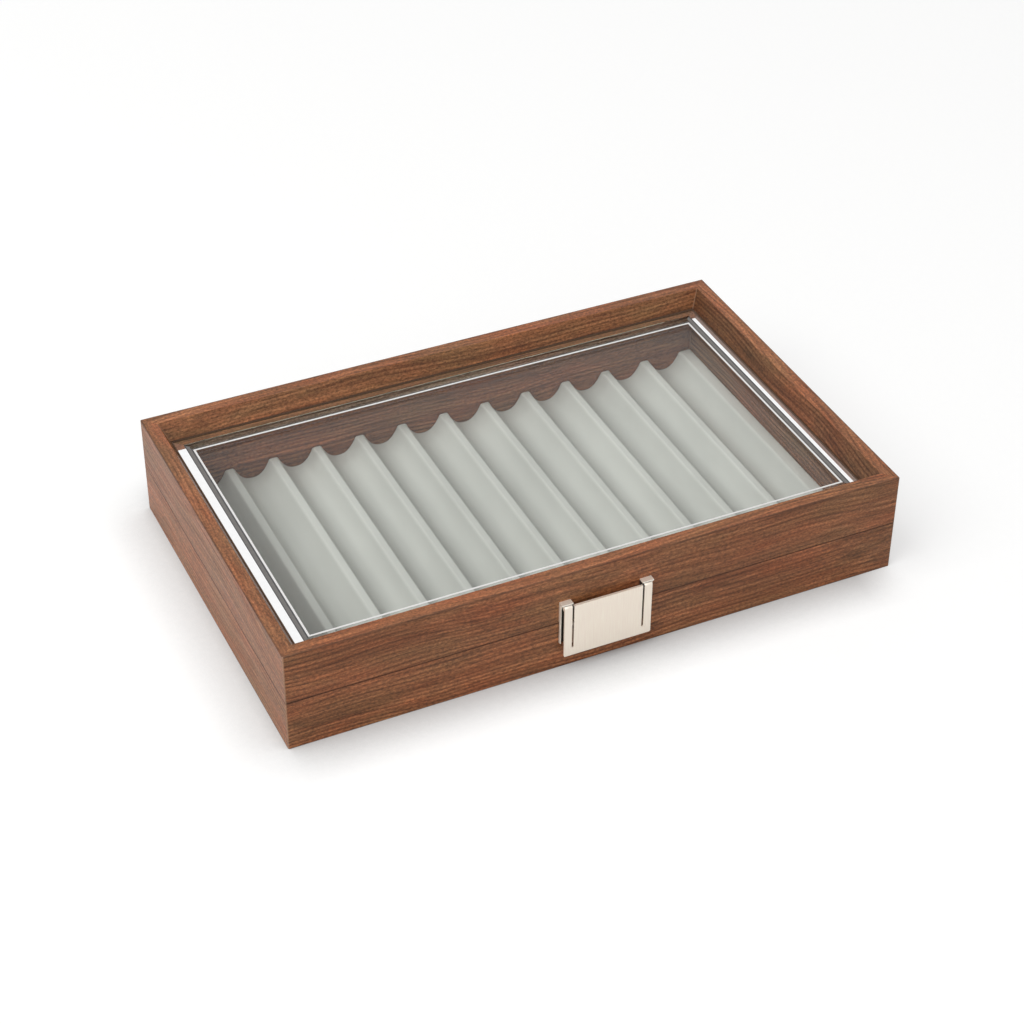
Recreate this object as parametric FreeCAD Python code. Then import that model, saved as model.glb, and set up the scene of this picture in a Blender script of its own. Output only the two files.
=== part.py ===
import FreeCAD
import Part
import math
import os

# Pen collector chest: a hinged display box with a mitred wooden case, a lid framing a glass pane,
# a channelled pen tray inside and a flap clasp in the middle of the front.
# Millimetres. +X runs along the long side, +Y to the hinged back, +Z up.
# The origin is the centre of the underside of the case.

V = FreeCAD.Vector
X_AXIS = V(1, 0, 0)

# ---- case ----
CASE_LENGTH = 320.0         # along X, over the wood
CASE_WIDTH = 200.0          # along Y, over the wood
CASE_HEIGHT = 55.0
SEAM_GAP = 0.3              # between base and lid, which are equally tall
CORNER_RADIUS = 0.6         # upright corners
ARRIS = 0.3                 # chamfer on the long outer edges, top and bottom
WALL = 9.0                  # boards of the base
MITRE_OVERRUN = 1.0         # the mitre planes start this far outside the corners

# ---- underside ----
PANEL_THICKNESS = 3.0
PANEL_REBATE = 3.0          # how far the panel is let into the boards
PANEL_CLEARANCE = 0.1
FELT_THICKNESS = 1.0

# ---- liner boards that stand up into the lid ----
LINER_THICKNESS = 2.5
LINER_GAP = 2.5             # between the liners and the rails that close round them
LINER_HEADROOM = 0.6        # between the liners and the beads above them

# ---- pen tray ----
CHANNEL_COUNT = 12
CHANNEL_DEPTH = 8.8
RIDGE_FLAT = 2.3            # level strip along the top of each ridge
RIDGE_ROUNDING = 1.2
TRAY_MARGIN = 4.8           # level strip beyond the first and last channels
TRAY_HEIGHT = 15.0
TRAY_CLEARANCE = 0.3

# ---- lid frame and glass ----
RIM_WIDTH = 6.8             # flat top of the rail
RAIL_FOOT = 11.5            # rail where its sloping inner face meets the glass
GLASS_DROP = 10.0           # glass face below the rim
GLASS_THICKNESS = 3.0
GLASS_CLEARANCE = 0.3
BEAD_HEIGHT = 3.4
BEAD_SET_BACK = 0.3         # beads end this far short of the bright strips above them
TRIM_WIDTH = 4.9            # bright strip laid on the glass along the rail
TRIM_THICKNESS = 0.3
TRIM_CLEARANCE = 0.1
LINE_GAP = 3.0              # bare glass between the bright strips and the border line
LINE_BACK_SHIFT = 2.6       # the border line stands this much farther from the back rail
LINE_WIDTH = 1.0
LINE_THICKNESS = 0.15

# ---- stop hinges ----
HINGE_SPREAD = 190.0        # between the middles of the two hinges
HINGE_LENGTH = 28.0
KNUCKLE_COUNT = 3
KNUCKLE_GAP = 0.2
KNUCKLE_RADIUS = 2.0
KNUCKLE_STANDOFF = 0.2      # between the back of the case and the knuckles
LEAF_THICKNESS = 1.1
LEAF_MARGIN = 0.4           # wood left in front of a leaf in the lid rail
LEAF_CLEARANCE = 0.05
HINGE_PIN_RADIUS = 0.8
PIN_FIT = 0.05              # radial, where a knuckle turns on a pin
PIN_END = 0.3               # length of pin beyond the outer knuckles
LID_OPENING = 95.0          # degrees
STOP_MARGIN = 1.0           # degrees of air on each tail at full opening
TAIL_LENGTH = 4.0
TAIL_THICKNESS = 1.1
TAIL_GAP = 0.25             # between a tail and the other leaf's knuckles

# ---- screws ----
SHANK_SIDES = 8             # shanks are plain prisms, hidden in the wood and without thread
SHANK_RADIUS = 0.9
SCREW_HEAD_RADIUS = 1.7
SCREW_CLEARANCE = 0.05
HINGE_SCREW_MARGIN = 6.0    # from the ends of the leaf
HINGE_SCREW_LENGTH = 9.0
CLASP_SCREW_LENGTH = 5.0    # in the wood
CLASP_HEAD_HEIGHT = 0.8

# ---- clasp: flap ----
FLAP_WIDTH = 45.8
FLAP_HEIGHT = 29.5
FLAP_RISE = 11.0            # top edge above the seam
FLAP_THICKNESS = 0.8
FLAP_CORNER = 0.8
EAR_WIDTH = 4.0             # outside each slot
SLOT_WIDTH = 1.0
SLOT_END = 5.0              # metal left below a slot
LIP_DEPTH = 1.3             # lower edge turned inwards
BARREL_RADIUS = 1.4         # ears of the flap rolled round the pin
BARREL_DROP = 0.9           # pin below the top edge of the flap
BARREL_CLEARANCE = 0.4      # between the rolled ears and the plate behind them
CLASP_PIN_RADIUS = 0.55

# ---- clasp: plate on the lid ----
PLATE_THICKNESS = 0.8
PLATE_MARGIN = 0.55         # between the plate and the lower edge of the lid
PLATE_DROP = 0.7            # between the plate and the rolled ears above it
PLATE_SCREW_SPACING = 22.0
FLANGE_THICKNESS = 0.6
FLANGE_GAP = 0.5            # beside the flap
FLANGE_HEIGHT = 1.8         # in front of the case
LEG_WIDTH = 4.2
LEG_DROP = 11.7             # below the seam
LEG_RELIEF = 0.3            # legs stand off the base
LUG_THICKNESS = 0.7
LUG_GAP = 0.2               # over the rolled ears
LUG_SET_BACK = 0.7          # behind the face of the flap
CHEEK_CLEARANCE = 0.15      # on either side of a cheek in its slot
CHEEK_RADIUS = 1.2

# ---- clasp: keeper on the base ----
KEEPER_DROP = 1.5           # top edge below the seam
KEEPER_HEIGHT = 12.5
KEEPER_GAP = 1.4            # between the keeper and the legs beside it
KEEPER_SCREW_INSET = 2.4
CATCH_DROP = 7.0            # middle of the rounded catch bar below the top edge of the keeper
CATCH_INSET = 5.4           # ends of the bar from the ends of the keeper
CATCH_RADIUS = 1.5
CATCH_GAP = 0.3             # between the catch bar and the flap

# ---- levels and faces that follow ----
HALF_LENGTH = CASE_LENGTH / 2
HALF_WIDTH = CASE_WIDTH / 2
SEAM_HEIGHT = CASE_HEIGHT / 2
BASE_TOP = SEAM_HEIGHT - SEAM_GAP / 2
LID_BOTTOM = SEAM_HEIGHT + SEAM_GAP / 2
FLOOR = FELT_THICKNESS + PANEL_THICKNESS
TRAY_TOP = FLOOR + TRAY_HEIGHT
LID_WALL = WALL - LINER_GAP
GLASS_TOP = CASE_HEIGHT - GLASS_DROP
GLASS_BOTTOM = GLASS_TOP - GLASS_THICKNESS
BEAD_BOTTOM = GLASS_BOTTOM - BEAD_HEIGHT
LINER_TOP = BEAD_BOTTOM - LINER_HEADROOM
TRIM_OUTER = RAIL_FOOT + TRIM_CLEARANCE
TRIM_INNER = TRIM_OUTER + TRIM_WIDTH

HINGE_Y = HALF_WIDTH + KNUCKLE_STANDOFF + KNUCKLE_RADIUS
HINGE_CENTRES = (-HINGE_SPREAD / 2, HINGE_SPREAD / 2)
LEAF_DEPTH = LID_WALL - LEAF_MARGIN

FRONT = -HALF_WIDTH
PLATE_FACE = FRONT - PLATE_THICKNESS
CLASP_PIN_Y = PLATE_FACE - BARREL_CLEARANCE - BARREL_RADIUS
FLAP_FRONT = CLASP_PIN_Y - BARREL_RADIUS
FLAP_BACK = FLAP_FRONT + FLAP_THICKNESS
FLAP_TOP = SEAM_HEIGHT + FLAP_RISE
FLAP_BOTTOM = FLAP_TOP - FLAP_HEIGHT
FLAP_HALF = FLAP_WIDTH / 2
EAR_INNER = FLAP_HALF - EAR_WIDTH
PANEL_HALF = EAR_INNER - SLOT_WIDTH
CLASP_PIN_Z = FLAP_TOP - BARREL_DROP
PLATE_BOTTOM = LID_BOTTOM + PLATE_MARGIN
PLATE_TOP = CLASP_PIN_Z - BARREL_RADIUS - PLATE_DROP
PLATE_HALF = FLAP_HALF + FLANGE_GAP + FLANGE_THICKNESS
PLATE_SCREW_X = PLATE_SCREW_SPACING / 2
PLATE_SCREW_Z = (PLATE_BOTTOM + PLATE_TOP) / 2
KEEPER_TOP = SEAM_HEIGHT - KEEPER_DROP
KEEPER_HALF = PLATE_HALF - LEG_WIDTH - KEEPER_GAP
KEEPER_SCREW_X = KEEPER_HALF - KEEPER_SCREW_INSET
KEEPER_SCREW_Z = KEEPER_TOP - KEEPER_SCREW_INSET

SIDES = ("front", "back", "left", "right")


# ---- helpers ----
def block(x0, x1, y0, y1, z0, z1):
    """A box between two corners."""
    return Part.makeBox(x1 - x0, y1 - y0, z1 - z0, V(x0, y0, z0))


def prism(inset, z0, z1):
    """The case outline drawn in by inset, as a block between two levels."""
    return block(inset - HALF_LENGTH, HALF_LENGTH - inset, inset - HALF_WIDTH, HALF_WIDTH - inset, z0, z1)


def ring(outer, inner, z0, z1):
    """A rectangular ring between two insets."""
    return prism(outer, z0, z1).cut(prism(inner, z0, z1))


def rod(radius, x0, x1, y, z):
    """A cylinder along X."""
    return Part.makeCylinder(radius, x1 - x0, V(x0, y, z), X_AXIS)


def fuse(shapes):
    """One clean solid out of overlapping or touching ones."""
    joined = shapes[0].multiFuse(shapes[1:]).removeSplitter()
    return joined.Solids[0] if len(joined.Solids) == 1 else joined


def both(half_spacing):
    """The two places at equal distances from the middle."""
    return (-half_spacing, half_spacing)


def span(side, near, far):
    """Ends along X, smaller first, of a stretch on the left (-1) or the right (1)."""
    return sorted((side * near, side * far))


def side_wedge(side):
    """The part of the case that belongs to one side, between its two mitre planes."""
    x, y = HALF_LENGTH + MITRE_OVERRUN, HALF_WIDTH + MITRE_OVERRUN
    meet = HALF_LENGTH - HALF_WIDTH
    corners = {
        "front": ((-x, -y), (x, -y), (meet, 0), (-meet, 0)),
        "back": ((x, y), (-x, y), (-meet, 0), (meet, 0)),
        "left": ((-x, y), (-x, -y), (-meet, 0)),
        "right": ((x, -y), (x, y), (meet, 0)),
    }[side]
    points = [V(px, py, 0) for px, py in corners]
    outline = Part.makePolygon(points + points[:1])
    return Part.Face(outline).extrude(V(0, 0, CASE_HEIGHT))


def rounded_case(z0, z1, rim_level):
    """The outside of the case between two levels: upright corners rounded and one rim eased."""
    body = prism(0, z0, z1)
    uprights = [e for e in body.Edges if abs(e.BoundBox.ZLength - (z1 - z0)) < 1e-6]
    body = body.makeFillet(CORNER_RADIUS, uprights)
    rim = [e for e in body.Edges if e.BoundBox.ZLength < 1e-6 and abs(e.BoundBox.ZMin - rim_level) < 1e-6]
    return body.makeChamfer(ARRIS, rim)


def shank(radius, start, direction, length):
    """A prism for the shank of a screw, or for its hole."""
    points = []
    across = V(0, 1, 0) if direction.z else V(0, 0, 1)
    for index in range(SHANK_SIDES + 1):
        turn = 2 * math.pi * (index + 0.5) / SHANK_SIDES
        points.append(start + X_AXIS * (radius * math.cos(turn)) + across * (radius * math.sin(turn)))
    return Part.Face(Part.makePolygon(points)).extrude(direction * length)


def hinge_screw(x, y, z, up, grow=0.0):
    """A countersunk screw with its head at z, for the lid (up = 1) or the base (up = -1), or its hole."""
    start, direction = V(x, y, z), V(0, 0, up)
    head = Part.makeCone(SCREW_HEAD_RADIUS + grow, SHANK_RADIUS + grow, LEAF_THICKNESS, start, direction)
    return fuse([head, shank(SHANK_RADIUS + grow, start, direction, HINGE_SCREW_LENGTH + grow)])


def hinge_screws(seam, up, grow=0.0):
    """All four screws, or holes, on one side of the seam."""
    y = HALF_WIDTH - LEAF_DEPTH / 2
    offsets = both(HINGE_LENGTH / 2 - HINGE_SCREW_MARGIN)
    return [hinge_screw(c + offset, y, seam, up, grow) for c in HINGE_CENTRES for offset in offsets]


def clasp_screw(x, z, grow=0.0):
    """The shank of a screw through a plate into the front of the case, or its hole."""
    length = PLATE_THICKNESS + CLASP_SCREW_LENGTH + grow
    return shank(SHANK_RADIUS + grow, V(x, PLATE_FACE, z), V(0, 1, 0), length)


def clasp_screws(half_spacing, z):
    """A pair of flat-headed screws side by side."""
    screws = []
    for x in both(half_spacing):
        head = Part.makeCylinder(SCREW_HEAD_RADIUS, CLASP_HEAD_HEIGHT, V(x, PLATE_FACE, z), V(0, -1, 0))
        screws.append(fuse([head, clasp_screw(x, z)]))
    return Part.makeCompound(screws)


def clasp_holes(half_spacing, z):
    """The holes for such a pair."""
    return [clasp_screw(x, z, SCREW_CLEARANCE) for x in both(half_spacing)]


def leaf_pocket(centre, z0, z1):
    """The mortise for a hinge leaf, open to the back of the case."""
    half = HINGE_LENGTH / 2 + LEAF_CLEARANCE
    front = HALF_WIDTH - LEAF_DEPTH - LEAF_CLEARANCE
    return block(centre - half, centre + half, front, HALF_WIDTH + CORNER_RADIUS, z0, z1)


# ---- base ----
def base_boards():
    """The four mitred boards: a rebate below for the panel, mortises above for the hinges."""
    case = rounded_case(0, BASE_TOP, 0)
    cuts = [prism(WALL, 0, BASE_TOP), prism(WALL - PANEL_REBATE, 0, FLOOR)]
    cuts += [leaf_pocket(c, BASE_TOP - LEAF_THICKNESS, BASE_TOP) for c in HINGE_CENTRES]
    cuts += hinge_screws(BASE_TOP, -1, SCREW_CLEARANCE) + clasp_holes(KEEPER_SCREW_X, KEEPER_SCREW_Z)
    case = case.cut(cuts)
    return {"base_%s_board" % side: case.common(side_wedge(side)) for side in SIDES}


def base_floor():
    """The panel let into the boards and the felt below it, level with their lower edges."""
    inset = WALL - PANEL_REBATE + PANEL_CLEARANCE
    return {
        "base_bottom_panel": prism(inset, FELT_THICKNESS, FLOOR),
        "base_felt_pad": prism(inset, 0, FELT_THICKNESS),
    }


def liner_boards():
    """Thin boards against the inside of the base, standing up into the lid."""
    inner = WALL + LINER_THICKNESS
    x_out, x_in = HALF_LENGTH - WALL, HALF_LENGTH - inner
    y_out, y_in = HALF_WIDTH - WALL, HALF_WIDTH - inner
    ease = LINER_THICKNESS / 4
    liners = {
        "liner_front": block(-x_out, x_out, -y_out, -y_in, FLOOR, LINER_TOP),
        "liner_back": block(-x_out, x_out, y_in, y_out, FLOOR, LINER_TOP),
        "liner_left": block(-x_out, -x_in, -y_in, y_in, FLOOR, LINER_TOP),
        "liner_right": block(x_in, x_out, -y_in, y_in, FLOOR, LINER_TOP),
    }
    for name, board in liners.items():
        top = [e for e in board.Edges
               if e.BoundBox.ZMin > LINER_TOP - 1e-6 and e.Length > 2 * LINER_THICKNESS]
        liners[name] = board.makeChamfer(ease, top)
    return liners


def pen_tray():
    """A block with a row of half-round channels whose ridges are rounded over."""
    half_x = HALF_LENGTH - WALL - LINER_THICKNESS - TRAY_CLEARANCE
    half_y = HALF_WIDTH - WALL - LINER_THICKNESS - TRAY_CLEARANCE
    pitch = 2 * (half_x - TRAY_MARGIN) / CHANNEL_COUNT
    shoulder_x = (pitch - RIDGE_FLAT) / 2
    shoulder_z = TRAY_TOP - RIDGE_ROUNDING
    # the channel's arc runs smoothly into the rounding of the ridge
    reach = (shoulder_x ** 2 / CHANNEL_DEPTH + CHANNEL_DEPTH) / 2
    radius = reach - RIDGE_ROUNDING
    centre_z = TRAY_TOP - CHANNEL_DEPTH + radius
    fall = reach - CHANNEL_DEPTH
    touch = V(shoulder_x, 0, -fall) * (radius / reach)
    bend = (math.pi / 2 + math.atan2(fall, shoulder_x)) / 2
    crest = V(-math.cos(bend), 0, math.sin(bend)) * RIDGE_ROUNDING

    edges = []
    pen = V(-half_x, -half_y, FLOOR)

    def line_to(point):
        nonlocal pen
        edges.append(Part.makeLine(pen, point))
        pen = point

    def arc_to(middle, point):
        nonlocal pen
        edges.append(Part.Arc(pen, middle, point).toShape())
        pen = point

    line_to(V(-half_x, -half_y, TRAY_TOP))
    for index in range(CHANNEL_COUNT):
        x = (index - (CHANNEL_COUNT - 1) / 2) * pitch
        centre = V(x, -half_y, centre_z)
        left_shoulder = V(x - shoulder_x, -half_y, shoulder_z)
        right_shoulder = V(x + shoulder_x, -half_y, shoulder_z)
        line_to(left_shoulder + V(0, 0, RIDGE_ROUNDING))
        arc_to(left_shoulder + V(-crest.x, 0, crest.z), centre + V(-touch.x, 0, touch.z))
        arc_to(centre - V(0, 0, radius), centre + touch)
        arc_to(right_shoulder + crest, right_shoulder + V(0, 0, RIDGE_ROUNDING))
    line_to(V(half_x, -half_y, TRAY_TOP))
    line_to(V(half_x, -half_y, FLOOR))
    line_to(V(-half_x, -half_y, FLOOR))
    outline = Part.Wire(edges)
    return {"pen_tray": Part.Face(outline).extrude(V(0, 2 * half_y, 0))}


# ---- lid ----
def sloping_well():
    """The space above the glass: the opening of the frame, narrowing down to the glass."""
    def outline(inset, z):
        x, y = HALF_LENGTH - inset, HALF_WIDTH - inset
        corners = [V(-x, -y, z), V(x, -y, z), V(x, y, z), V(-x, y, z)]
        return Part.makePolygon(corners + corners[:1])
    return Part.makeLoft([outline(RAIL_FOOT, GLASS_TOP), outline(RIM_WIDTH, CASE_HEIGHT)], True, True)


def lid_rails():
    """The four mitred rails: rebated from below for glass and beads, mortised for the hinges."""
    frame = rounded_case(LID_BOTTOM, CASE_HEIGHT, CASE_HEIGHT)
    cuts = [sloping_well(), prism(LID_WALL, LID_BOTTOM, GLASS_TOP)]
    cuts += [leaf_pocket(c, LID_BOTTOM, LID_BOTTOM + LEAF_THICKNESS) for c in HINGE_CENTRES]
    cuts += hinge_screws(LID_BOTTOM, 1, SCREW_CLEARANCE) + clasp_holes(PLATE_SCREW_X, PLATE_SCREW_Z)
    frame = frame.cut(cuts)
    return {"lid_%s_rail" % side: frame.common(side_wedge(side)) for side in SIDES}


def line_block(inset):
    """What the border line encloses, drawn in by inset."""
    edge = TRIM_INNER + LINE_GAP + inset
    x, y = HALF_LENGTH - edge, HALF_WIDTH - edge
    return block(-x, x, -y, y - LINE_BACK_SHIFT, GLASS_TOP, GLASS_TOP + LINE_THICKNESS)


def glazing():
    """Glass under the lips of the rails, beads that hold it, bright strips and a line on its face."""
    beads = ring(LID_WALL, TRIM_INNER - BEAD_SET_BACK, BEAD_BOTTOM, GLASS_BOTTOM)
    trim = ring(TRIM_OUTER, TRIM_INNER, GLASS_TOP, GLASS_TOP + TRIM_THICKNESS)
    parts = {
        "glass_pane": prism(LID_WALL + GLASS_CLEARANCE, GLASS_BOTTOM, GLASS_TOP),
        "glass_border_line": line_block(0).cut(line_block(LINE_WIDTH)),
    }
    for side in SIDES:
        parts["glass_bead_" + side] = beads.common(side_wedge(side))
        parts["glass_trim_" + side] = trim.common(side_wedge(side))
    return parts


# ---- hinges ----
def knuckle_spans(centre, owner):
    """Ends along X of the knuckles of one leaf: even ones are the base's, odd ones the lid's."""
    pitch = HINGE_LENGTH / KNUCKLE_COUNT
    start = centre - HINGE_LENGTH / 2
    half_gap = KNUCKLE_GAP / 2
    return [(start + i * pitch + half_gap, start + (i + 1) * pitch - half_gap)
            for i in range(owner, KNUCKLE_COUNT, 2)]


def hinge_leaf(centre, up):
    """A leaf with its knuckles and its stop tail, for the lid (up = 1) or the base (up = -1)."""
    half = HINGE_LENGTH / 2
    seam = LID_BOTTOM if up > 0 else BASE_TOP
    z0, z1 = sorted((seam, seam + up * LEAF_THICKNESS))
    spans = knuckle_spans(centre, 1 if up > 0 else 0)
    solids = [block(centre - half, centre + half, HALF_WIDTH - LEAF_DEPTH, HALF_WIDTH, z0, z1)]

    tail_start = KNUCKLE_RADIUS + TAIL_GAP
    tail_end = KNUCKLE_RADIUS + TAIL_LENGTH
    t0, t1 = sorted((0, up * TAIL_THICKNESS))
    tail = block(centre - half, centre + half, tail_start, tail_end, t0, t1)
    tail_parts = [tail] + [block(a, b, 0, tail_start, t0, t1) for a, b in spans]
    turn = up * (LID_OPENING / 2 + STOP_MARGIN)
    for piece in tail_parts:
        piece.rotate(V(0, 0, 0), X_AXIS, turn)
        piece.translate(V(0, HINGE_Y, SEAM_HEIGHT))
        solids.append(piece)

    for a, b in spans:
        solids.append(rod(KNUCKLE_RADIUS, a, b, HINGE_Y, SEAM_HEIGHT))
        solids.append(block(a, b, HALF_WIDTH, HINGE_Y, z0, z1))
    leaf = fuse(solids)
    fit = PIN_FIT if up > 0 else 0
    bore = rod(HINGE_PIN_RADIUS + fit, centre - half, centre + half, HINGE_Y, SEAM_HEIGHT)
    return leaf.cut([bore] + hinge_screws(seam, up, SCREW_CLEARANCE))


def hinges():
    """Two stop hinges whose tails meet just past full opening, with pins and screws."""
    parts = {}
    for side, centre in zip(("left", "right"), HINGE_CENTRES):
        reach = HINGE_LENGTH / 2 + PIN_END
        parts["hinge_%s_base_leaf" % side] = hinge_leaf(centre, -1)
        parts["hinge_%s_lid_leaf" % side] = hinge_leaf(centre, 1)
        pin = rod(HINGE_PIN_RADIUS, centre - reach, centre + reach, HINGE_Y, SEAM_HEIGHT)
        parts["hinge_%s_pin" % side] = pin
    parts["hinge_base_screws"] = Part.makeCompound(hinge_screws(BASE_TOP, -1))
    parts["hinge_lid_screws"] = Part.makeCompound(hinge_screws(LID_BOTTOM, 1))
    return parts


# ---- clasp ----
def clasp_flap():
    """Sprung flap: a panel between two slots, ears rolled round the pin, a lip along the bottom."""
    sheet = block(-FLAP_HALF, FLAP_HALF, FLAP_FRONT, FLAP_BACK, FLAP_BOTTOM, FLAP_TOP)
    lower_corners = [e for e in sheet.Edges
                     if e.BoundBox.YLength > FLAP_THICKNESS / 2 and e.BoundBox.ZMax < FLAP_BOTTOM + 1e-6]
    sheet = sheet.makeFillet(FLAP_CORNER, lower_corners)
    lip = block(-PANEL_HALF, PANEL_HALF, FLAP_FRONT, FLAP_FRONT + LIP_DEPTH, FLAP_BOTTOM,
                FLAP_BOTTOM + FLAP_THICKNESS)
    solids = [lip]
    cuts = []
    slot_bottom = FLAP_BOTTOM + SLOT_END
    for side in (-1, 1):
        x0, x1 = span(side, EAR_INNER, FLAP_HALF)
        solids.append(rod(BARREL_RADIUS, x0, x1, CLASP_PIN_Y, CLASP_PIN_Z))
        # the ear ends at its barrel, so the square corner of the sheet above the pin goes
        cuts.append(block(x0, x1, FLAP_FRONT, FLAP_BACK, CLASP_PIN_Z, FLAP_TOP))
        x0, x1 = span(side, PANEL_HALF, EAR_INNER)
        cuts.append(block(x0, x1, FLAP_FRONT, FLAP_BACK, slot_bottom, FLAP_TOP))
        round_end = V((x0 + x1) / 2, FLAP_FRONT, slot_bottom)
        cuts.append(Part.makeCylinder(SLOT_WIDTH / 2, FLAP_THICKNESS, round_end, V(0, 1, 0)))
    body = fuse([sheet.cut(cuts)] + solids)
    bore = rod(CLASP_PIN_RADIUS + PIN_FIT, -FLAP_HALF, FLAP_HALF, CLASP_PIN_Y, CLASP_PIN_Z)
    return {"clasp_flap": body.cut(bore)}


def clasp_back_plate():
    """Plate on the lid: legs that straddle the keeper, side flanges, and lugs over the rolled ears."""
    lug_bottom = CLASP_PIN_Z + BARREL_RADIUS + LUG_GAP
    lug_top = lug_bottom + LUG_THICKNESS
    lug_front = FLAP_FRONT + LUG_SET_BACK
    leg_bottom = SEAM_HEIGHT - LEG_DROP
    cheek_inner = PANEL_HALF + CHEEK_CLEARANCE
    solids = [block(-PLATE_HALF, PLATE_HALF, PLATE_FACE, FRONT, PLATE_BOTTOM, PLATE_TOP)]
    for side in (-1, 1):
        x0, x1 = span(side, cheek_inner, PLATE_HALF)
        solids.append(block(x0, x1, PLATE_FACE, FRONT, PLATE_TOP, lug_top))
        solids.append(block(x0, x1, lug_front, FRONT, lug_bottom, lug_top))
        x0, x1 = span(side, PLATE_HALF - LEG_WIDTH, PLATE_HALF)
        solids.append(block(x0, x1, PLATE_FACE, FRONT - LEG_RELIEF, leg_bottom, PLATE_BOTTOM))
        x0, x1 = span(side, PLATE_HALF - FLANGE_THICKNESS, PLATE_HALF)
        solids.append(block(x0, x1, FRONT - FLANGE_HEIGHT, PLATE_FACE, leg_bottom, lug_top))
        x0, x1 = span(side, cheek_inner, EAR_INNER - CHEEK_CLEARANCE)
        solids.append(rod(CHEEK_RADIUS, x0, x1, CLASP_PIN_Y, CLASP_PIN_Z))
        solids.append(block(x0, x1, CLASP_PIN_Y, PLATE_FACE, CLASP_PIN_Z - CHEEK_RADIUS, lug_top))
    bore = rod(CLASP_PIN_RADIUS, -PLATE_HALF, PLATE_HALF, CLASP_PIN_Y, CLASP_PIN_Z)
    return {"clasp_back_plate": fuse(solids).cut([bore] + clasp_holes(PLATE_SCREW_X, PLATE_SCREW_Z))}


def clasp_keeper():
    """Plate on the base with the rounded catch bar that the flap closes over."""
    z = KEEPER_TOP - CATCH_DROP
    y = FLAP_BACK + CATCH_GAP + CATCH_RADIUS
    half = KEEPER_HALF - CATCH_INSET
    plate = block(-KEEPER_HALF, KEEPER_HALF, PLATE_FACE, FRONT, KEEPER_TOP - KEEPER_HEIGHT, KEEPER_TOP)
    bar = rod(CATCH_RADIUS, -half, half, y, z)
    bar = bar.common(block(-half, half, y - CATCH_RADIUS, FRONT, z - CATCH_RADIUS, z + CATCH_RADIUS))
    foot = block(-half, half, y, FRONT, z - CATCH_RADIUS, z + CATCH_RADIUS)
    return {"clasp_keeper": fuse([plate, bar, foot]).cut(clasp_holes(KEEPER_SCREW_X, KEEPER_SCREW_Z))}


def clasp():
    """The flap, its pin, the plates on lid and base, and their screws."""
    parts = {
        "clasp_pin": rod(CLASP_PIN_RADIUS, -FLAP_HALF, FLAP_HALF, CLASP_PIN_Y, CLASP_PIN_Z),
        "clasp_plate_screws": clasp_screws(PLATE_SCREW_X, PLATE_SCREW_Z),
        "clasp_keeper_screws": clasp_screws(KEEPER_SCREW_X, KEEPER_SCREW_Z),
    }
    for make in (clasp_flap, clasp_back_plate, clasp_keeper):
        parts.update(make())
    return parts


# ---- write one file per piece ----
def main():
    pieces = {}
    for make in (base_boards, base_floor, liner_boards, pen_tray, lid_rails, glazing, hinges, clasp):
        pieces.update(make())
    os.makedirs("parts", exist_ok=True)
    for name, shape in pieces.items():
        solids = shape.Solids
        whole = solids[0] if len(solids) == 1 else Part.makeCompound(solids)
        whole.exportStep("parts/%s.step" % name)
        box = whole.BoundBox
        print("%-22s solids %d valid %s volume %9.1f  x %.2f..%.2f y %.2f..%.2f z %.2f..%.2f" % (
            name, len(solids), whole.isValid(), whole.Volume,
            box.XMin, box.XMax, box.YMin, box.YMax, box.ZMin, box.ZMax))


main()
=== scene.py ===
import math

import bmesh
import bpy
from mathutils import Matrix, Vector


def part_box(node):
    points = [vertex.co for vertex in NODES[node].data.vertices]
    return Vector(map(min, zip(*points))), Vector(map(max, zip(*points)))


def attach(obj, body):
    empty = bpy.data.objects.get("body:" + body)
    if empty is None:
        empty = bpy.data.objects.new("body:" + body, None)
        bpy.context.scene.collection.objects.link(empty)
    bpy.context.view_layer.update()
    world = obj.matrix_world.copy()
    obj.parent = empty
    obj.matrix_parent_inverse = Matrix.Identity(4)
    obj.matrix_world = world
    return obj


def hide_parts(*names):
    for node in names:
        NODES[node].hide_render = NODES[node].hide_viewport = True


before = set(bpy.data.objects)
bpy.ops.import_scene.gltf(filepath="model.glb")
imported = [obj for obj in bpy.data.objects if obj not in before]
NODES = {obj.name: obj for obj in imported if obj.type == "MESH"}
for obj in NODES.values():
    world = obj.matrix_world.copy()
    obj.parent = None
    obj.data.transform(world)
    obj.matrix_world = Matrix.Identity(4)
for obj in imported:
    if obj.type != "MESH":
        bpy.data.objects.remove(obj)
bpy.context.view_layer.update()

# A wooden pen display box: the imported frame is dressed with materials, softened edges, a flocked
# tray, and on the glass a printed white line and band with dark lines of painted shade beside them.
# Metres, in the frame of the CAD: +X to the right, +Y to the hinges, +Z up.

MM = 0.001
SIDES = ("front", "back", "left", "right")
CASE_HALF = (0.160, 0.100)
CASE_TOP = 0.055
SEAM = CASE_TOP / 2
GLASS_TOP = 0.045

# ---- camera, fitted to the corners of the case ----
CAMERA_PLACE = (-0.41145, -0.86444, 0.74677)
CAMERA_AZIMUTH = math.radians(-25.394)
CAMERA_ELEVATION = math.radians(37.376)
CAMERA_ROLL = math.radians(0.4615)
CAMERA_LENS = 84.20
CAMERA_SENSOR = 36.0


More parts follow.
